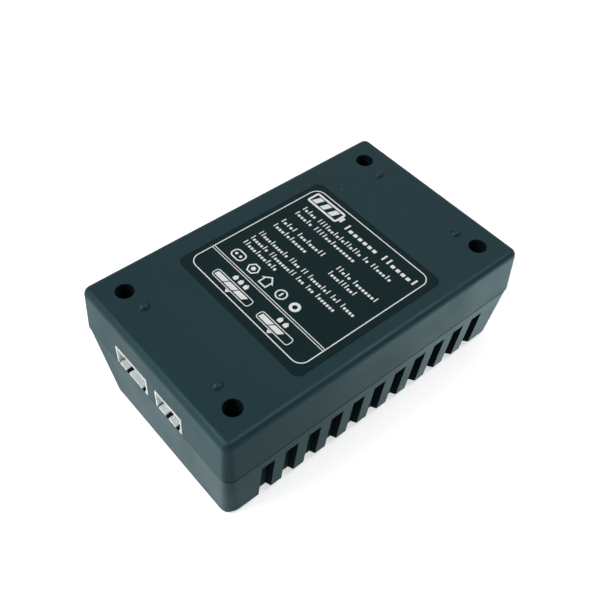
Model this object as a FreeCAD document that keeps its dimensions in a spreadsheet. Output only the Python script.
import FreeCAD, Part
import math
import os
import re
import Sketcher

# A mains balance charger for small two-cell and three-cell battery packs.
# It is modelled with its label face up. The label shell closes the finned shell along a seam,
# and in use the charger stands on the four pips of its label face.
#   +X  from the end with the two pack sockets to the end with the mains inlet
#   +Z  from the finned shell's flat face, at zero, up to the label face
# The origin is the middle of the finned shell's flat face. Sizes are in millimetres and degrees.

doc = FreeCAD.newDocument("BalanceCharger")

SIZES = {
    # the closed case
    "length": 90.0,              # across the two ends, at the seam
    "width": 56.0,               # across the two finned sides, at the seam
    "height": 31.7,              # from the flat face to the label face
    "split_height": 18.6,        # rim of the finned shell
    "seam_gap": 0.3,             # dark line between the two rims
    "seam_step": 0.2,            # how far the finned shell's rim stands in from the label shell's
    "corner_radius": 2.6,
    "cavity_corner": 1.2,
    "wall": 2.0,
    "label_draft": 3.0,
    "label_edge_round": 1.9,
    "end_inset": 1.25,           # how far each foot of the finned shell stands in from the seam
    "straight_side_inset": 1.85,
    "slanted_side_inset": 6.6,
    "slanted_side_lean": 3.0,    # how far the cavity's floor stands in on the slanted side
    "base_corner_radius": 3.4,
    "base_edge_round": 0.8,
    "tongue_thickness": 1.0,     # lap joint that stands up from the finned shell's rim
    "tongue_height": 1.5,
    "lap_gap": 0.15,
    # the fins along each long side
    "groove_pitch": 6.7,
    "groove_width": 3.6,
    "groove_depth": 3.6,         # from the seam's outline in to the back of a groove
    "groove_head": 3.6,          # plain band between the seam and the grooves
    "groove_margin": 9.6,        # least plain length at each end of the row
    "groove_reach": 6.0,
    "chamfer_run": 2.3,          # along the foot of the straight side
    "chamfer_rise": 1.7,
    "slanted_chamfer_run": 1.8,
    "slanted_chamfer_rise": 1.7,
    # pips and label on the label face
    "pip_radius": 1.4,
    "pip_rise": 0.9,
    "pip_inset_long": 8.7,
    "pip_inset_wide": 14.35,
    "label_long": 44.3,
    "label_wide": 43.6,
    "label_thickness": 0.15,
    "label_corner": 2.0,
    "label_shift_long": -0.25,
    "label_shift_wide": -1.0,
    # case screws and what they go through
    "screw_inset_long": 7.8,
    "screw_inset_wide": 7.95,
    "counterbore_radius": 2.27,
    "tube_radius": 3.25,
    "shoulder": 2.3,
    "screw_hole_radius": 1.4,
    "screw_radius": 1.25,
    "screw_length": 9.5,
    "screw_point": 1.5,
    "screw_head_radius": 2.05,
    "screw_head_height": 1.5,
    "recess_long": 2.4,
    "recess_wide": 0.5,
    "recess_depth": 0.8,
    "boss_radius": 3.0,
    "boss_foot": 6.0,            # lowest point of a boss, clear of the slanted side
    "pilot_radius": 1.27,
    "pilot_depth": 9.0,
    # circuit board and its posts
    "board_thickness": 1.6,
    "board_gap_long": 0.6,
    "board_gap_wide": 0.8,
    "board_gap_tube": 0.3,
    "board_gap_socket": 0.05,
    "board_corner": 1.0,
    "post_long": 15.0,
    "post_inset": 4.0,
    "post_radius": 1.5,
    "solder_hole_radius": 0.5,
    # pack sockets: balance headers with their pins on a 2.5 pitch
    "socket_gap": 0.05,          # between a socket and the finned shell's rim
    "socket_height": 5.75,
    "socket_wall": 0.55,
    "socket_depth": 8.5,
    "socket_cavity": 6.9,
    "socket_inset": 0.1,
    "socket_end": 2.45,          # from an outer pin's centre to the socket's end
    "pin_pitch": 2.5,
    "pin_side": 0.64,
    "pin_recess": 1.6,
    "pin_tail": 1.8,             # from the back of a socket to the pins that go up
    "pin_stub": 1.2,             # length of a pin past the board
    "key_width": 1.2,
    "key_near_inset": 1.2,
    "key_far_inset": 3.6,
    "corner_slot_width": 0.45,
    "three_cell_place": 7.42,
    "two_cell_place": -6.88,
    "window_gap": 0.12,
    "window_reach": 1.5,
    # mains inlet for a small two-pole appliance lead
    "inlet_width": 20.8,
    "inlet_height": 10.2,
    "inlet_corner": 4.8,
    "inlet_length": 17.0,
    "inlet_inset": 0.1,
    "inlet_gap": 0.15,
    "inlet_cavity_width": 16.6,
    "inlet_cavity_height": 8.2,
    "inlet_cavity_corner": 3.9,
    "inlet_cavity_depth": 12.0,
    "flange_lip": 1.5,
    "flange_thickness": 1.5,
    "flange_gap": 0.05,
    "inlet_pin_radius": 1.2,
    "inlet_pin_spacing": 8.6,
    "inlet_pin_length": 9.6,
    "inlet_pin_tip": 0.6,
    "inlet_neck_radius": 1.0,    # the stretch that the moulding holds
    "inlet_neck_stand": 0.5,     # how far the neck shows above the cavity's floor
    "inlet_tail_long": 0.8,
    "inlet_tail_wide": 2.0,
    "inlet_tail_reach": 1.2,
    # status lights in the floor of the finned shell
    "lamp_radius": 1.5,
    "lamp_hole_gap": 0.05,
    "lamp_recess": 0.3,
    "lamp_length": 4.3,
    "lamp_rim_radius": 1.9,
    "lamp_rim_height": 1.0,
    "lamp_inset": 12.4,
    "lamp_pitch": 8.0,
    "leg_side": 0.45,
    "leg_pitch": 1.27,
    # mains side of the circuit
    "part_gap": 0.5,             # from the case's side wall to the parts beside it
    "fuse_radius": 4.25,
    "fuse_height": 8.0,
    "mains_row": 22.5,           # from the inlet end to the row of mains parts
    "film_long": 6.0,
    "film_wide": 13.0,
    "film_height": 12.0,
    "bridge_long": 6.5,
    "bridge_wide": 8.5,
    "bridge_height": 3.2,
    "bridge_place": -7.3,
    "store_row": 34.5,           # from the inlet end to the storage capacitor and switch
    "can_radius": 6.25,
    "can_length": 20.0,
    "sleeve_thickness": 0.15,
    "choke_radius": 4.5,
    "choke_height": 11.0,
    "choke_flange": 1.2,
    "choke_neck_radius": 2.2,
    "choke_wire_radius": 4.1,
    "choke_place": 8.0,
    "sink_long": 12.0,
    "sink_thickness": 1.5,
    "sink_height": 18.0,
    "package_long": 10.0,
    "package_thickness": 4.5,
    "package_height": 9.0,
    "package_drop": 2.5,
    "tab_thickness": 1.3,
    "tab_height": 6.5,
    "tab_hole_drop": 14.8,
    "clamp_radius": 1.5,
    "clamp_head_radius": 2.6,
    "clamp_head_height": 1.6,
    # transformer
    "core_reach": 18.0,          # from the storage capacitor's row to the transformer
    "core_long": 20.0,
    "core_wide": 5.2,
    "core_height": 16.0,
    "core_limb": 2.6,
    "core_yoke": 2.6,
    "core_middle": 4.8,
    "bobbin_skin": 0.6,
    "bobbin_flange": 0.9,
    "bobbin_wide": 15.5,
    "bobbin_gap": 0.1,
    "winding_build": 3.0,
    "tape_thickness": 0.25,
    # chips and small parts
    "chip_gap": 0.1,
    "controller_long": 9.3,
    "controller_wide": 6.4,
    "controller_height": 3.4,
    "controller_reach": 12.5,
    "isolator_long": 4.6,
    "isolator_reach": 23.5,
    "isolator_height": 3.6,
    "isolation_row": 14.0,
    "disc_radius": 4.0,
    "disc_thickness": 3.6,
    "diode_radius": 2.6,
    "diode_length": 9.0,
    "output_row": 22.5,          # from the socket end to the output parts
    "output_can_radius": 4.0,
    "output_can_height": 12.0,
    "driver_long": 6.1,
    "driver_wide": 6.5,
    "driver_height": 2.3,
    "driver_pitch": 8.0,
    "amplifier_inset": 16.0,
    "amplifier_long": 3.9,
    "amplifier_wide": 8.7,
    "amplifier_height": 1.6,
    "amplifier_pitch": 12.0,
    "sense_long": 3.2,
    "sense_wide": 6.4,
    "resistor_long": 1.6,
    "resistor_wide": 3.2,
    "resistor_height": 0.6,
    "resistor_pitch": 4.0,
    "resistor_row": 10.0,
}

sheet = doc.addObject("Spreadsheet::Sheet", "Sizes")
for row, (alias, size) in enumerate(SIZES.items(), start=1):
    sheet.set(f"A{row}", alias)
    sheet.set(f"B{row}", str(size))
    sheet.setAlias(f"B{row}", alias)
doc.recompute()


# ---- formulas over the sheet, and the places that several pieces share

def formula(text):
    """The text with each size's name pointing at its cell of the sheet."""
    return re.sub(r"[a-z_]+", lambda m: f"Sizes.{m[0]}" if m[0] in SIZES else m[0], str(text))


def value(text):
    """What a formula comes to now, as a number."""
    return float(sheet.evalExpression(formula(text)))


def bind(thing, name, text):
    thing.setExpression(name, formula(text))


RIM = "(split_height + seam_gap)"
CEILING = "(height - wall)"
SHELF = "(split_height - groove_head + wall)"
SCREW_X = "(length / 2 - screw_inset_long)"
SCREW_Y = "(width / 2 - screw_inset_wide)"
SCREW_SEAT = "(split_height + shoulder)"
POST_Y = "(width / 2 - post_inset)"
SOCKET_FACE = "(-length / 2 + socket_inset)"
SOCKET_UNDER = "(split_height + socket_gap)"
SOCKET_MID = "(split_height + socket_gap + socket_height / 2)"
PIN_TAIL_X = "(-length / 2 + socket_inset + socket_depth + pin_tail)"
BOARD_UNDER = "(split_height + socket_gap + socket_height + board_gap_socket)"
BOARD_TOP = "(split_height + socket_gap + socket_height + board_gap_socket + board_thickness)"
INLET_FACE = "(length / 2 - inlet_inset)"
INLET_Z = "(split_height + socket_gap + socket_height - inlet_height / 2)"
INLET_BACK = "(length / 2 - inlet_inset - inlet_cavity_depth)"
INLET_TAIL_X = "(length / 2 - inlet_inset - inlet_length - inlet_tail_reach)"
END_CAVITY = "(length / 2 - wall - end_inset)"
LAMP_X = "(-length / 2 + lamp_inset)"
MAINS_X = "(length / 2 - mains_row)"
STORE_X = "(length / 2 - store_row)"
CORE_X = "(length / 2 - store_row - core_reach)"
CONTROLLER_X = "(length / 2 - store_row - controller_reach)"
ISOLATOR_X = "(length / 2 - store_row - isolator_reach)"
OUTPUT_X = "(-length / 2 + output_row)"
PART_Y = "(width / 2 - groove_depth - wall - part_gap)"
SLANTED_Y = "(width / 2 - groove_depth - wall - slanted_side_lean / 2 - part_gap)"
SINK_Y = "(width / 2 - groove_depth - wall - slanted_side_lean - part_gap)"


# ---- sketches and features

def plane(body, role):
    return next(feature for feature in body.Origin.OriginFeatures if feature.Role == role)


def new_body(label):
    body = doc.addObject("PartDesign::Body", label)
    body.Label = label
    return body


def sketch(body, name, role="XY_Plane", at=("0", "0", "0")):
    """A sketch on one of the body's origin planes, moved by three formulas in the plane's own axes."""
    new = body.newObject("Sketcher::SketchObject", name)
    new.AttachmentSupport = [(plane(body, role), "")]
    new.MapMode = "FlatFace"
    for axis, text in zip("xyz", at):
        bind(new, f".AttachmentOffset.Base.{axis}", text)
    return new


def dimension(drawn, kind, *references):
    """A driving dimension. The last reference is its formula."""
    *places, text = references
    number = drawn.addConstraint(Sketcher.Constraint(kind, *places, value(text)))
    bind(drawn, f"Constraints[{number}]", text)


ORIGIN = (-1, 1)


def pin_point(drawn, point, x, y):
    """Holds a point at a place given by two formulas from the sketch's origin."""
    for kind, text, axis in (("DistanceX", x, -2), ("DistanceY", y, -1)):
        if text == "0":
            drawn.addConstraint(Sketcher.Constraint("PointOnObject", *point, axis))
        elif value(text) > 0:
            dimension(drawn, kind, *ORIGIN, *point, text)
        else:
            dimension(drawn, kind, *point, *ORIGIN, f"-({text})")


def circle(drawn, radius, x="0", y="0"):
    centre = FreeCAD.Vector(value(x), value(y), 0)
    edge = drawn.addGeometry(Part.Circle(centre, FreeCAD.Vector(0, 0, 1), value(radius)), False)
    dimension(drawn, "Radius", edge, radius)
    pin_point(drawn, (edge, 3), x, y)


def four_circles(drawn, radius, x, y):
    for sign_x in ("", "-"):
        for sign_y in ("", "-"):
            circle(drawn, radius, sign_x + x, sign_y + y)


def polygon(drawn, points):
    """A closed outline through points given as pairs of formulas, none of them negative."""
    places = [FreeCAD.Vector(value(x), value(y), 0) for x, y in points]
    lines = [
        drawn.addGeometry(Part.LineSegment(place, places[(i + 1) % len(places)]), False)
        for i, place in enumerate(places)
    ]
    for i, line in enumerate(lines):
        drawn.addConstraint(Sketcher.Constraint("Coincident", line, 2, lines[(i + 1) % len(lines)], 1))
    for line, (x, y) in zip(lines, points):
        if (x, y) == ("0", "0"):
            drawn.addConstraint(Sketcher.Constraint("Coincident", line, 1, *ORIGIN))
        else:
            pin_point(drawn, (line, 1), x, y)


def rectangle(drawn, wide, tall, radius=None):
    """A rectangle about the sketch's origin, with round corners if it has a radius."""
    x = value(wide) / 2
    y = value(tall) / 2
    r = value(radius) if radius else 0.0
    vector = FreeCAD.Vector
    ends = [
        (vector(-x + r, -y, 0), vector(x - r, -y, 0)),
        (vector(x, -y + r, 0), vector(x, y - r, 0)),
        (vector(x - r, y, 0), vector(-x + r, y, 0)),
        (vector(-x, y - r, 0), vector(-x, -y + r, 0)),
    ]
    sides = [drawn.addGeometry(Part.LineSegment(a, b), False) for a, b in ends]
    if radius:
        centres = [(x - r, -y + r), (x - r, y - r), (-x + r, y - r), (-x + r, -y + r)]
        corners = []
        for quarter, (cx, cy) in enumerate(centres):
            start = math.radians(90 * (quarter - 1))
            whole = Part.Circle(vector(cx, cy, 0), vector(0, 0, 1), r)
            arc = Part.ArcOfCircle(whole, start, start + math.pi / 2)
            corners.append(drawn.addGeometry(arc, False))
        for i in range(4):
            drawn.addConstraint(Sketcher.Constraint("Tangent", sides[i], 2, corners[i], 1))
            drawn.addConstraint(Sketcher.Constraint("Tangent", corners[i], 2, sides[(i + 1) % 4], 1))
        for corner in corners[1:]:
            drawn.addConstraint(Sketcher.Constraint("Equal", corners[0], corner))
        dimension(drawn, "Radius", corners[0], radius)
    else:
        for i in range(4):
            drawn.addConstraint(Sketcher.Constraint("Coincident", sides[i], 2, sides[(i + 1) % 4], 1))
    for i, kind in enumerate(("Horizontal", "Vertical", "Horizontal", "Vertical")):
        drawn.addConstraint(Sketcher.Constraint(kind, sides[i]))
    drawn.addConstraint(Sketcher.Constraint("Symmetric", sides[0], 1, sides[2], 1, *ORIGIN))
    dimension(drawn, "DistanceX", sides[3], 1, sides[1], 1, wide)
    dimension(drawn, "DistanceY", sides[0], 1, sides[2], 1, tall)


def pad(body, drawn, length, along=1, taper=None):
    """Adds the sketch's shape along its normal, or against it. A negative taper narrows it."""
    feature = body.newObject("PartDesign::Pad", "pad")
    feature.Profile = drawn
    feature.Reversed = along < 0
    bind(feature, "Length", length)
    if taper:
        bind(feature, "TaperAngle", taper)
    doc.recompute()
    return feature


def pocket(body, drawn, length, along=-1):
    """Cuts the sketch's shape along its normal, or against it, and checks that it cut something."""
    before = body.Shape.Volume
    feature = body.newObject("PartDesign::Pocket", "pocket")
    feature.Profile = drawn
    feature.Reversed = along > 0
    bind(feature, "Length", length)
    doc.recompute()
    if body.Shape.Volume >= before:
        raise ValueError(f"{body.Label}: {drawn.Label} cut nothing")
    return feature


def loft(body, kind, start, end):
    """Adds or takes away the straight-sided solid between two sketches."""
    feature = body.newObject(f"PartDesign::{kind}Loft", "loft")
    feature.Profile = start
    feature.Sections = [end]
    feature.Ruled = True
    doc.recompute()
    return feature


def round_edges(body, feature, height, radius):
    """Fillets every edge of a feature that lies wholly at one height."""
    level = value(height)
    names = [
        f"Edge{number}"
        for number, edge in enumerate(feature.Shape.Edges, start=1)
        if max(abs(edge.BoundBox.ZMin - level), abs(edge.BoundBox.ZMax - level)) < 1e-4
    ]
    fillet = body.newObject("PartDesign::Fillet", "fillet")
    fillet.Base = (feature, names)
    bind(fillet, "Radius", radius)
    doc.recompute()
    return fillet


# ---- simple solids and groups

def box(name, at, size):
    """A block from its middle in X and Y and its lowest Z."""
    block = doc.addObject("Part::Box", name)
    for side, text in zip(("Length", "Width", "Height"), size):
        bind(block, side, text)
    bind(block, ".Placement.Base.x", f"{at[0]} - ({size[0]}) / 2")
    bind(block, ".Placement.Base.y", f"{at[1]} - ({size[1]}) / 2")
    bind(block, ".Placement.Base.z", at[2])
    return block


TURNS = {
    "X": FreeCAD.Rotation(FreeCAD.Vector(0, 1, 0), 90),
    "Y": FreeCAD.Rotation(FreeCAD.Vector(1, 0, 0), -90),
    "Z": FreeCAD.Rotation(),
}


def rod(name, at, radius, length, axis="Z", tip_radius=None):
    """A cylinder, or a cone with a tip radius, that starts at a point and runs along an axis."""
    kind = "Part::Cone" if tip_radius else "Part::Cylinder"
    solid = doc.addObject(kind, name)
    if tip_radius:
        bind(solid, "Radius1", radius)
        bind(solid, "Radius2", tip_radius)
    else:
        bind(solid, "Radius", radius)
    bind(solid, "Height", length)
    solid.Placement = FreeCAD.Placement(FreeCAD.Vector(), TURNS[axis])
    for letter, text in zip("xyz", at):
        bind(solid, f".Placement.Base.{letter}", text)
    return solid


def cut(name, base, tool):
    result = doc.addObject("Part::Cut", name)
    result.Base = base
    result.Tool = tool
    result.Label = name
    return result


def fuse(name, shapes):
    result = doc.addObject("Part::MultiFuse", name)
    result.Shapes = shapes
    result.Label = name
    return result


def group(name, members):
    result = doc.addObject("Part::Compound", name)
    result.Links = members
    result.Label = name
    return result


def mirrored(source, normal):
    result = doc.addObject("Part::Mirroring", f"{source.Name}_mirror")
    result.Source = source
    result.Normal = FreeCAD.Vector(*normal)
    return result


# ---- the case

def window(body, centre, count, top, bottom):
    """Cuts the opening for one pack socket through the socket end of a shell."""
    wide = f"(({count} - 1) * pin_pitch + 2 * socket_end + 2 * window_gap)"
    middle = f"(({top} + {bottom}) / 2)"
    drawn = sketch(body, "window", "YZ_Plane", (centre, middle, "-length / 2 - 1"))
    rectangle(drawn, wide, f"({top} - {bottom})")
    pocket(body, drawn, "wall + 1 + window_reach", along=1)


def inlet_window(body):
    """Cuts the opening for the mains inlet through the inlet end of a shell."""
    drawn = sketch(body, "inlet_window", "YZ_Plane", ("0", INLET_Z, "length / 2 + 1"))
    rectangle(drawn, "inlet_width + 2 * inlet_gap", "inlet_height + 2 * inlet_gap",
              "inlet_corner + inlet_gap")
    pocket(body, drawn, f"1 + length / 2 - {END_CAVITY} + flange_gap", along=-1)


def make_label_shell():
    body = new_body("label_shell")
    outline = sketch(body, "outline", at=("0", "0", RIM))
    rectangle(outline, "length", "width", "corner_radius")
    outer = pad(body, outline, f"height - {RIM}", taper="-label_draft")
    round_edges(body, outer, "height", "label_edge_round")

    cavity = sketch(body, "cavity", at=("0", "0", RIM))
    rectangle(cavity, "length - 2 * wall", "width - 2 * wall", "cavity_corner")
    pocket(body, cavity, f"{CEILING} - {RIM}", along=1)

    lap = sketch(body, "lap", at=("0", "0", RIM))
    rectangle(lap, "length - 2 * (wall - tongue_thickness - lap_gap)",
              "width - 2 * (wall - tongue_thickness - lap_gap)", "cavity_corner + tongue_thickness")
    pocket(body, lap, "tongue_height + lap_gap - seam_gap", along=1)

    tubes = sketch(body, "screw_tubes", at=("0", "0", "split_height"))
    four_circles(tubes, "tube_radius", SCREW_X, SCREW_Y)
    pad(body, tubes, f"{CEILING} + wall / 2 - split_height")

    posts = sketch(body, "board_posts", at=("0", "0", BOARD_TOP))
    four_circles(posts, "post_radius", "post_long", POST_Y)
    pad(body, posts, f"{CEILING} + wall / 2 - {BOARD_TOP}")

    ball = "((pip_radius ^ 2 + pip_rise ^ 2) / (2 * pip_rise))"
    for sign_x in ("", "-"):
        for sign_y in ("", "-"):
            pip = body.newObject("PartDesign::AdditiveSphere", "pip")
            bind(pip, "Radius", ball)
            pip.AttachmentSupport = [(plane(body, "XY_Plane"), "")]
            pip.MapMode = "FlatFace"
            bind(pip, ".AttachmentOffset.Base.x", f"{sign_x}(length / 2 - pip_inset_long)")
            bind(pip, ".AttachmentOffset.Base.y", f"{sign_y}(width / 2 - pip_inset_wide)")
            bind(pip, ".AttachmentOffset.Base.z", f"height + pip_rise - {ball}")

    window(body, "three_cell_place", 4, f"({SOCKET_UNDER} + socket_height + window_gap)", "split_height")
    window(body, "two_cell_place", 3, f"({SOCKET_UNDER} + socket_height + window_gap)", "split_height")
    inlet_window(body)

    counterbores = sketch(body, "counterbores", at=("0", "0", "height"))
    four_circles(counterbores, "counterbore_radius", SCREW_X, SCREW_Y)
    pocket(body, counterbores, f"height - {SCREW_SEAT}")
    holes = sketch(body, "screw_holes", at=("0", "0", SCREW_SEAT))
    four_circles(holes, "screw_hole_radius", SCREW_X, SCREW_Y)
    pocket(body, holes, "shoulder + 1")
    return body


def make_grooves(body):
    """One groove on each long side at the socket end of the row, repeated along the length."""
    count = ("(floor((length - 2 * groove_margin - groove_width) / groove_pitch) + 1)")
    cuts = []
    for side in ("", "-"):
        across = f"{side}(width / 2 - groove_depth + groove_reach / 2)"
        drawn = sketch(body, "groove", at=(f"-({count} - 1) * groove_pitch / 2", across, "0"))
        rectangle(drawn, "groove_width", "groove_reach")
        cuts.append(pocket(body, drawn, "split_height - groove_head", along=1))
    row = body.newObject("PartDesign::LinearPattern", "groove_row")
    row.Originals = cuts
    row.Direction = (plane(body, "X_Axis"), [""])
    bind(row, "Length", f"({count} - 1) * groove_pitch")
    bind(row, "Occurrences", count)
    body.Tip = row
    doc.recompute()


def make_finned_shell():
    """One long side is nearly upright. The other slants in to the flat face."""
    body = new_body("finned_shell")
    rim = sketch(body, "rim", at=("0", "0", "split_height"))
    rectangle(rim, "length - 2 * seam_step", "width - 2 * seam_step", "corner_radius - seam_step")
    foot = sketch(body, "foot", at=("0", "(straight_side_inset - slanted_side_inset) / 2", "0"))
    rectangle(foot, "length - 2 * end_inset", "width - straight_side_inset - slanted_side_inset",
              "base_corner_radius")
    outer = loft(body, "Additive", rim, foot)
    round_edges(body, outer, "0", "base_edge_round")

    for side in ("slanted", "straight"):
        prefix = "slanted_" if side == "slanted" else ""
        run, rise = f"{prefix}chamfer_run", f"{prefix}chamfer_rise"
        start = f"(width / 2 - {side}_side_inset - {run})"
        chamfer = sketch(body, "chamfer", "YZ_Plane", ("0", "0", "-length / 2 - 1"))
        if side == "straight":
            chamfer.AttachmentOffset = FreeCAD.Placement(
                FreeCAD.Vector(), FreeCAD.Rotation(FreeCAD.Vector(0, 1, 0), 180)
            )
            bind(chamfer, ".AttachmentOffset.Base.z", "length / 2 + 1")
        polygon(chamfer, [(start, "0"), (f"({start} + 4 * {run})", "0"),
                          (f"({start} + 4 * {run})", f"(4 * {rise})")])
        pocket(body, chamfer, "length + 2", along=1)

    tongue = sketch(body, "tongue", at=("0", "0", "split_height"))
    rectangle(tongue, "length - 2 * (wall - tongue_thickness)", "width - 2 * (wall - tongue_thickness)",
              "cavity_corner + tongue_thickness")
    pad(body, tongue, "tongue_height")

    upper = sketch(body, "upper_cavity", at=("0", "0", "split_height + tongue_height"))
    rectangle(upper, "length - 2 * wall", "width - 2 * wall", "cavity_corner")
    pocket(body, upper, f"split_height + tongue_height - {SHELF}")
    lower = sketch(body, "lower_cavity", at=("0", "0", SHELF))
    rectangle(lower, f"2 * {END_CAVITY}", "width - 2 * (groove_depth + wall)", "cavity_corner")
    floor = sketch(body, "cavity_floor", at=("0", "-slanted_side_lean / 2", "wall"))
    rectangle(floor, f"2 * {END_CAVITY}", "width - 2 * (groove_depth + wall) - slanted_side_lean",
              "cavity_corner")
    loft(body, "Subtractive", lower, floor)
    make_grooves(body)

    bosses = sketch(body, "screw_bosses", at=("0", "0", "boss_foot"))
    four_circles(bosses, "boss_radius", SCREW_X, SCREW_Y)
    pad(body, bosses, "split_height - boss_foot")
    posts = sketch(body, "board_posts", at=("0", "0", f"{SHELF} - wall / 2"))
    four_circles(posts, "post_radius", "post_long", POST_Y)
    pad(body, posts, f"{BOARD_UNDER} - {SHELF} + wall / 2")
    pilots = sketch(body, "pilots", at=("0", "0", "split_height"))
    four_circles(pilots, "pilot_radius", SCREW_X, SCREW_Y)
    pocket(body, pilots, "pilot_depth")

    window(body, "three_cell_place", 4, "(split_height + 2 * tongue_height)", "split_height")
    window(body, "two_cell_place", 3, "(split_height + 2 * tongue_height)", "split_height")
    inlet_window(body)

    lamps = sketch(body, "lamp_holes")
    for place in ("-lamp_pitch", "0", "lamp_pitch"):
        circle(lamps, "lamp_radius + lamp_hole_gap", LAMP_X, place)
    pocket(body, lamps, "wall + 1", along=1)
    return body


def make_spec_label():
    body = new_body("spec_label")
    outline = sketch(body, "outline", at=("label_shift_long", "label_shift_wide", "height"))
    rectangle(outline, "label_long", "label_wide", "label_corner")
    pad(body, outline, "label_thickness")
    return body


def make_case_screws():
    body = new_body("case_screw")
    tip = f"({SCREW_SEAT} - screw_length)"
    turned = sketch(body, "profile", "XZ_Plane", (SCREW_X, tip, f"-{SCREW_Y}"))
    top = "(screw_length + screw_head_height)"
    polygon(turned, [("0", "0"), ("screw_radius", "screw_point"), ("screw_radius", "screw_length"),
                     ("screw_head_radius", "screw_length"), ("screw_head_radius", top), ("0", top)])
    spin = body.newObject("PartDesign::Revolution", "screw")
    spin.Profile = turned
    spin.ReferenceAxis = (turned, ["V_Axis"])
    doc.recompute()
    for wide, tall in (("recess_long", "recess_wide"), ("recess_wide", "recess_long")):
        recess = sketch(body, "recess", at=(SCREW_X, SCREW_Y, f"{SCREW_SEAT} + screw_head_height"))
        rectangle(recess, wide, tall)
        pocket(body, recess, "recess_depth")
    pair = group("screw_pair", [body, mirrored(body, (1, 0, 0))])
    return group("case_screws", [pair, mirrored(pair, (0, 1, 0))])


# ---- circuit board, sockets and inlet

def pin_places(centre, count):
    return [f"({centre} + ({i} - ({count} - 1) / 2) * pin_pitch)" for i in range(count)]


SOCKETS = (("three_cell", "three_cell_place", 4), ("two_cell", "two_cell_place", 3))


def make_main_board():
    body = new_body("main_board")
    outline = sketch(body, "outline", at=("0", "0", BOARD_UNDER))
    rectangle(outline, "length - 2 * (wall + board_gap_long)", "width - 2 * (wall + board_gap_wide)",
              "board_corner")
    pad(body, outline, "board_thickness")
    tubes = sketch(body, "tube_holes", at=("0", "0", BOARD_TOP))
    four_circles(tubes, "tube_radius + board_gap_tube", SCREW_X, SCREW_Y)
    pocket(body, tubes, "board_thickness")
    solder = sketch(body, "solder_holes", at=("0", "0", BOARD_TOP))
    for _, centre, count in SOCKETS:
        for place in pin_places(centre, count):
            circle(solder, "solder_hole_radius", PIN_TAIL_X, place)
    pocket(body, solder, "board_thickness")
    for side in ("", "-"):
        slot = sketch(body, "inlet_slot", at=(INLET_TAIL_X, f"{side}inlet_pin_spacing / 2", BOARD_TOP))
        rectangle(slot, "inlet_tail_long + 2 * inlet_gap", "inlet_tail_wide + 2 * inlet_gap")
        pocket(body, slot, "board_thickness")
    return body


def make_socket(label, centre, count):
    """A shrouded header that lies on its keyed wall, open towards the end of the case."""
    body = new_body(f"{label}_socket")
    wide = f"(({count} - 1) * pin_pitch + 2 * socket_end)"
    outline = sketch(body, "outline", "YZ_Plane", (centre, SOCKET_MID, SOCKET_FACE))
    rectangle(outline, wide, "socket_height")
    pad(body, outline, "socket_depth")
    mouth = sketch(body, "mouth", "YZ_Plane", (centre, SOCKET_MID, SOCKET_FACE))
    rectangle(mouth, f"{wide} - 2 * socket_wall", "socket_height - 2 * socket_wall")
    pocket(body, mouth, "socket_cavity", along=1)
    for place, slot in (
        (f"({centre} + {wide} / 2 - key_far_inset - key_width / 2)", "key_width"),
        (f"({centre} - {wide} / 2 + key_near_inset + key_width / 2)", "key_width"),
        (f"({centre} + {wide} / 2 - socket_wall - corner_slot_width / 2)", "corner_slot_width"),
    ):
        key = sketch(body, "key", "YZ_Plane", (place, SOCKET_UNDER, SOCKET_FACE))
        rectangle(key, slot, "2 * socket_wall")
        pocket(body, key, "socket_cavity", along=1)
    for place in pin_places(centre, count):
        hole = sketch(body, "pin_hole", "YZ_Plane", (place, SOCKET_MID, SOCKET_FACE))
        rectangle(hole, "pin_side", "pin_side")
        pocket(body, hole, "socket_depth + 1", along=1)
    return body


def make_pins(label, centre, count):
    """The square pins of one socket: along the mouth, then up through the board."""
    pins = []
    run = f"({PIN_TAIL_X} + pin_side / 2 - {SOCKET_FACE} - pin_recess)"
    rise = f"({BOARD_TOP} + pin_stub - {SOCKET_MID} + pin_side / 2)"
    low = f"({SOCKET_MID} - pin_side / 2)"
    for number, place in enumerate(pin_places(centre, count), start=1):
        along = box(f"{label}_pin_run_{number}", (f"{SOCKET_FACE} + pin_recess + {run} / 2", place, low),
                    (run, "pin_side", "pin_side"))
        up = box(f"{label}_pin_rise_{number}", (PIN_TAIL_X, place, low), ("pin_side", "pin_side", rise))
        pins.append(fuse(f"{label}_pin_{number}", [along, up]))
    return group(f"{label}_pins", pins)


def make_mains_inlet():
    body = new_body("mains_inlet")
    outline = sketch(body, "outline", "YZ_Plane", ("0", INLET_Z, f"{INLET_FACE} - inlet_length"))
    rectangle(outline, "inlet_width", "inlet_height", "inlet_corner")
    pad(body, outline, "inlet_length")
    flange_x = f"{END_CAVITY} - flange_gap - flange_thickness"
    flange = sketch(body, "flange", "YZ_Plane", ("0", INLET_Z, flange_x))
    rectangle(flange, "inlet_width + 2 * flange_lip", "inlet_height", "inlet_corner")
    pad(body, flange, "flange_thickness")
    mouth = sketch(body, "mouth", "YZ_Plane", ("0", INLET_Z, INLET_FACE))
    rectangle(mouth, "inlet_cavity_width", "inlet_cavity_height", "inlet_cavity_corner")
    pocket(body, mouth, "inlet_cavity_depth")
    holes = sketch(body, "pin_holes", "YZ_Plane", ("0", INLET_Z, INLET_BACK))
    for side in ("", "-"):
        circle(holes, "inlet_neck_radius", f"{side}inlet_pin_spacing / 2")
    pocket(body, holes, "inlet_length")
    return body


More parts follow.
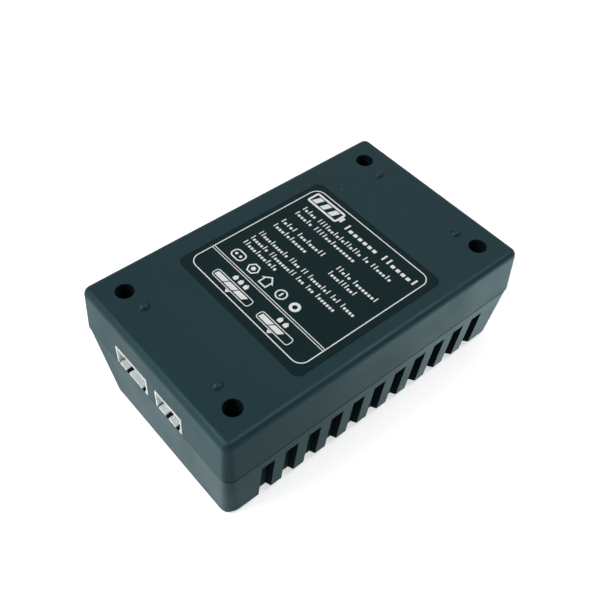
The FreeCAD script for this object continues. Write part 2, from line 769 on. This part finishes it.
def make_inlet_pins():
    """Two round contacts, each with a flat tail that goes up through the board."""
    contacts = []
    step = f"({INLET_BACK} + inlet_neck_stand)"
    for name, side in (("left", ""), ("right", "-")):
        y = f"{side}inlet_pin_spacing / 2"
        neck = rod(f"inlet_neck_{name}", (INLET_TAIL_X, y, INLET_Z), "inlet_neck_radius",
                   f"{step} - {INLET_TAIL_X}", axis="X")
        shaft = rod(f"inlet_shaft_{name}", (step, y, INLET_Z), "inlet_pin_radius",
                    "inlet_pin_length - inlet_pin_tip - inlet_neck_stand", axis="X")
        tip = rod(f"inlet_tip_{name}", (f"{INLET_BACK} + inlet_pin_length - inlet_pin_tip", y, INLET_Z),
                  "inlet_pin_radius", "inlet_pin_tip", axis="X", tip_radius="inlet_pin_radius / 2")
        tail = box(f"inlet_tail_{name}", (INLET_TAIL_X, y, INLET_Z),
                   ("inlet_tail_long", "inlet_tail_wide", f"{BOARD_TOP} + pin_stub - {INLET_Z}"))
        contacts.append(fuse(f"inlet_contact_{name}", [neck, shaft, tip, tail]))
    return group("mains_inlet_pins", contacts)


# ---- parts on the mains side of the board

def hanging_box(name, x, y, size, gap="0"):
    """A block under the board, with its top face a gap below the board."""
    return box(name, (x, y, f"{BOARD_UNDER} - {gap} - ({size[2]})"), size)


def make_input_parts():
    fuse_part = rod("fuse", (MAINS_X, f"-({PART_Y} - fuse_radius)", f"{BOARD_UNDER} - fuse_height"),
                    "fuse_radius", "fuse_height")
    film = hanging_box("film_capacitor", MAINS_X, f"({SLANTED_Y} - film_wide / 2)",
                       ("film_long", "film_wide", "film_height"))
    bridge = hanging_box("bridge_rectifier", MAINS_X, "bridge_place",
                         ("bridge_long", "bridge_wide", "bridge_height"), "chip_gap")
    return [fuse_part, film, bridge]


def make_choke():
    low = f"({BOARD_UNDER} - choke_height)"
    at = (STORE_X, "choke_place", low)
    upper = (STORE_X, "choke_place", f"{BOARD_UNDER} - choke_flange")
    core = fuse("choke_core", [
        rod("choke_neck", at, "choke_neck_radius", "choke_height"),
        rod("choke_lower_flange", at, "choke_radius", "choke_flange"),
        rod("choke_upper_flange", upper, "choke_radius", "choke_flange"),
    ])
    start = (STORE_X, "choke_place", f"{low} + choke_flange")
    length = "(choke_height - 2 * choke_flange)"
    winding = cut("choke_winding", rod("choke_wire", start, "choke_wire_radius", length),
                  rod("choke_wire_bore", start, "choke_neck_radius", length))
    return [core, winding]


def make_storage_capacitor():
    """A can that lies across the board in a shrunk sleeve."""
    z = f"({BOARD_UNDER} - can_radius - sleeve_thickness)"
    start = (STORE_X, f"-{PART_Y}", z)
    can = rod("storage_capacitor", start, "can_radius", "can_length", axis="Y")
    sleeve = cut("storage_capacitor_sleeve",
                 rod("sleeve_outside", start, "can_radius + sleeve_thickness", "can_length", axis="Y"),
                 rod("sleeve_bore", start, "can_radius", "can_length", axis="Y"))
    return [can, sleeve]


def make_switch():
    """The switching transistor, its heat sink and the screw that holds them together."""
    face = f"({SINK_Y} - sink_thickness)"
    tab_y = f"({face} - tab_thickness / 2)"
    hole_z = f"({BOARD_UNDER} - tab_hole_drop)"
    package = hanging_box("switch_package", STORE_X, f"({face} - package_thickness / 2)",
                          ("package_long", "package_thickness", "package_height"), "package_drop")
    tab = hanging_box("switch_tab", STORE_X, tab_y, ("package_long", "tab_thickness", "tab_height"),
                      "(package_drop + package_height)")
    legs = [
        hanging_box(f"switch_leg_{i}", f"({STORE_X} + {i - 1} * pin_pitch)",
                    f"({face} - package_thickness / 2)", ("leg_side", "leg_side", "package_drop"))
        for i in range(3)
    ]
    transistor = cut("switching_transistor", fuse("switch_solid", [package, tab, *legs]),
                     rod("switch_hole", (STORE_X, f"{face} - 2 * tab_thickness", hole_z),
                         "clamp_radius", "3 * tab_thickness", axis="Y"))
    plate = hanging_box("sink_plate", STORE_X, f"({face} + sink_thickness / 2)",
                        ("sink_long", "sink_thickness", "sink_height"))
    sink = cut("heat_sink", plate,
               rod("sink_hole", (STORE_X, f"{face} - 1", hole_z), "clamp_radius", "sink_thickness + 2",
                   axis="Y"))
    head_y = f"({face} - tab_thickness - clamp_head_height)"
    screw = fuse("heat_sink_screw", [
        rod("clamp_head", (STORE_X, head_y, hole_z), "clamp_head_radius", "clamp_head_height", axis="Y"),
        rod("clamp_shank", (STORE_X, head_y, hole_z), "clamp_radius",
            "clamp_head_height + tab_thickness + sink_thickness", axis="Y"),
    ])
    return [transistor, sink, screw]


# ---- transformer

def make_transformer():
    """A core about an upright bobbin, with the winding on it and tape round the winding."""
    x = CORE_X
    low = f"({BOARD_UNDER} - core_height)"
    window_height = "(core_height - 2 * core_yoke)"
    window_long = "((core_long - core_middle) / 2 - core_limb)"
    window_low = f"({low} + core_yoke)"
    offset = f"(core_middle / 2 + {window_long} / 2)"
    block = box("core_block", (x, "0", low), ("core_long", "core_wide", "core_height"))
    windows = [
        box(f"core_window_{i}", (f"({x} {sign} {offset})", "0", window_low),
            (window_long, "core_wide + 2", window_height))
        for i, sign in enumerate("+-")
    ]
    core = cut("transformer_core", block, fuse("core_windows", windows))

    hole = ("core_middle + 2 * bobbin_gap", "core_wide + 2 * bobbin_gap")
    tube = ("core_middle + 2 * (bobbin_gap + bobbin_skin)", "core_wide + 2 * (bobbin_gap + bobbin_skin)")
    flange = (f"core_middle + 2 * {window_long} - 2 * bobbin_gap", "bobbin_wide")
    inner_height = f"({window_height} - 2 * bobbin_gap)"
    inner_low = f"({window_low} + bobbin_gap)"
    bobbin = cut("transformer_bobbin", fuse("bobbin_solid", [
        box("bobbin_tube", (x, "0", inner_low), (*tube, inner_height)),
        box("bobbin_lower_flange", (x, "0", inner_low), (*flange, "bobbin_flange")),
        box("bobbin_upper_flange", (x, "0", f"{inner_low} + {inner_height} - bobbin_flange"),
            (*flange, "bobbin_flange")),
    ]), box("bobbin_hole", (x, "0", f"{inner_low} - 1"), (*hole, f"{inner_height} + 2")))

    coil_low = f"({inner_low} + bobbin_flange)"
    coil_height = f"({inner_height} - 2 * bobbin_flange)"
    coil = tuple(f"{side} + 2 * winding_build" for side in tube)
    taped = tuple(f"{side} + 2 * tape_thickness" for side in coil)
    winding = cut("transformer_winding", box("coil_outside", (x, "0", coil_low), (*coil, coil_height)),
                  box("coil_bore", (x, "0", coil_low), (*tube, coil_height)))
    tape = cut("transformer_tape", box("tape_outside", (x, "0", coil_low), (*taped, coil_height)),
               box("tape_bore", (x, "0", coil_low), (*coil, coil_height)))
    return [core, bobbin, winding, tape]


# ---- chips, output parts and lights

def make_isolation_parts():
    controller = hanging_box("controller_chip", CONTROLLER_X, "-isolation_row",
                             ("controller_long", "controller_wide", "controller_height"), "chip_gap")
    isolator = hanging_box("optical_isolator", ISOLATOR_X, "-isolation_row",
                           ("isolator_long", "controller_wide", "isolator_height"), "chip_gap")
    disc = rod("safety_capacitor",
               (CONTROLLER_X, "isolation_row - disc_thickness / 2", f"{BOARD_UNDER} - disc_radius"),
               "disc_radius", "disc_thickness", axis="Y")
    diode = rod("output_diode",
                (f"{ISOLATOR_X} - diode_length / 2", f"({PART_Y} - diode_radius)",
                 f"{BOARD_UNDER} - diode_radius"),
                "diode_radius", "diode_length", axis="X")
    return [controller, isolator, disc, diode]


def make_output_parts():
    cans = group("output_capacitors", [
        rod(f"output_can_{name}", (OUTPUT_X, place, f"{BOARD_UNDER} - output_can_height"),
            "output_can_radius", "output_can_height")
        for name, place in (("far", f"({SLANTED_Y} - output_can_radius)"),
                            ("near", f"-({PART_Y} - output_can_radius)"))
    ])
    drivers = group("charge_transistors", [
        hanging_box(f"charge_transistor_{i}", OUTPUT_X, f"({i - 1} * driver_pitch)",
                    ("driver_long", "driver_wide", "driver_height"))
        for i in range(3)
    ])
    amplifiers = group("balance_amplifiers", [
        hanging_box(f"balance_amplifier_{name}", "(-length / 2 + amplifier_inset)",
                    f"({sign} amplifier_pitch / 2)",
                    ("amplifier_long", "amplifier_wide", "amplifier_height"), "chip_gap")
        for name, sign in (("far", "+"), ("near", "-"))
    ])
    sense = group("sense_resistors", [
        box(f"sense_resistor_{i}", (OUTPUT_X, f"({i - 1} * driver_pitch)", BOARD_TOP),
            ("sense_long", "sense_wide", "resistor_height"))
        for i in range(3)
    ])
    chips = group("chip_resistors", [
        box(f"chip_resistor_{i}_{k}",
            (f"((-1) ^ {k} * resistor_row - {i} * resistor_pitch)", "0", BOARD_TOP),
            ("resistor_long", "resistor_wide", "resistor_height"))
        for i in range(3)
        for k in range(2)
    ])
    return [cans, drivers, amplifiers, sense, chips]


def make_lamps():
    """Three lights whose domes stop just short of the flat face, and their legs."""
    lamps = []
    legs = []
    for name, place in (("near", "-lamp_pitch"), ("middle", "0"), ("far", "lamp_pitch")):
        dome = doc.addObject("Part::Sphere", f"lamp_dome_{name}")
        bind(dome, "Radius", "lamp_radius")
        for letter, text in zip("xyz", (LAMP_X, place, "lamp_recess + lamp_radius")):
            bind(dome, f".Placement.Base.{letter}", text)
        barrel = rod(f"lamp_barrel_{name}", (LAMP_X, place, "lamp_recess + lamp_radius"),
                     "lamp_radius", "lamp_length")
        rim_low = "(lamp_recess + lamp_radius + lamp_length - lamp_rim_height)"
        rim = rod(f"lamp_rim_{name}", (LAMP_X, place, rim_low), "lamp_rim_radius", "lamp_rim_height")
        lamps.append(fuse(f"lamp_{name}", [dome, barrel, rim]))
        top = "(lamp_recess + lamp_radius + lamp_length)"
        legs += [
            box(f"leg_{name}_{i}", (LAMP_X, f"({place} + {i - 1} * leg_pitch)", top),
                ("leg_side", "leg_side", f"{BOARD_UNDER} - {top}"))
            for i in range(3)
        ]
    return [group("status_lamps", lamps), group("lamp_legs", legs)]


# ---- build, check and write

pieces = [make_label_shell(), make_finned_shell(), make_spec_label(), make_case_screws(), make_main_board()]
for label, centre, count in SOCKETS:
    pieces += [make_socket(label, centre, count), make_pins(label, centre, count)]
pieces += [make_mains_inlet(), make_inlet_pins()]
pieces += make_input_parts() + make_choke() + make_storage_capacitor() + make_switch()
pieces += make_transformer() + make_isolation_parts() + make_output_parts() + make_lamps()
doc.recompute()

for thing in doc.Objects:
    if "Invalid" in thing.State or "Error" in thing.State:
        raise ValueError(f"{thing.Label} did not build: {thing.State}")
for piece in pieces:
    if piece.Shape.isNull() or not piece.Shape.isValid() or piece.Shape.Volume <= 0:
        raise ValueError(f"{piece.Label} has no valid solid")

os.makedirs("parts", exist_ok=True)
for piece in pieces:
    piece.Shape.exportStep(os.path.join("parts", f"{piece.Label}.step"))
    print(f"{piece.Label}: {len(piece.Shape.Solids)} solids, {piece.Shape.Volume:.1f} mm3")
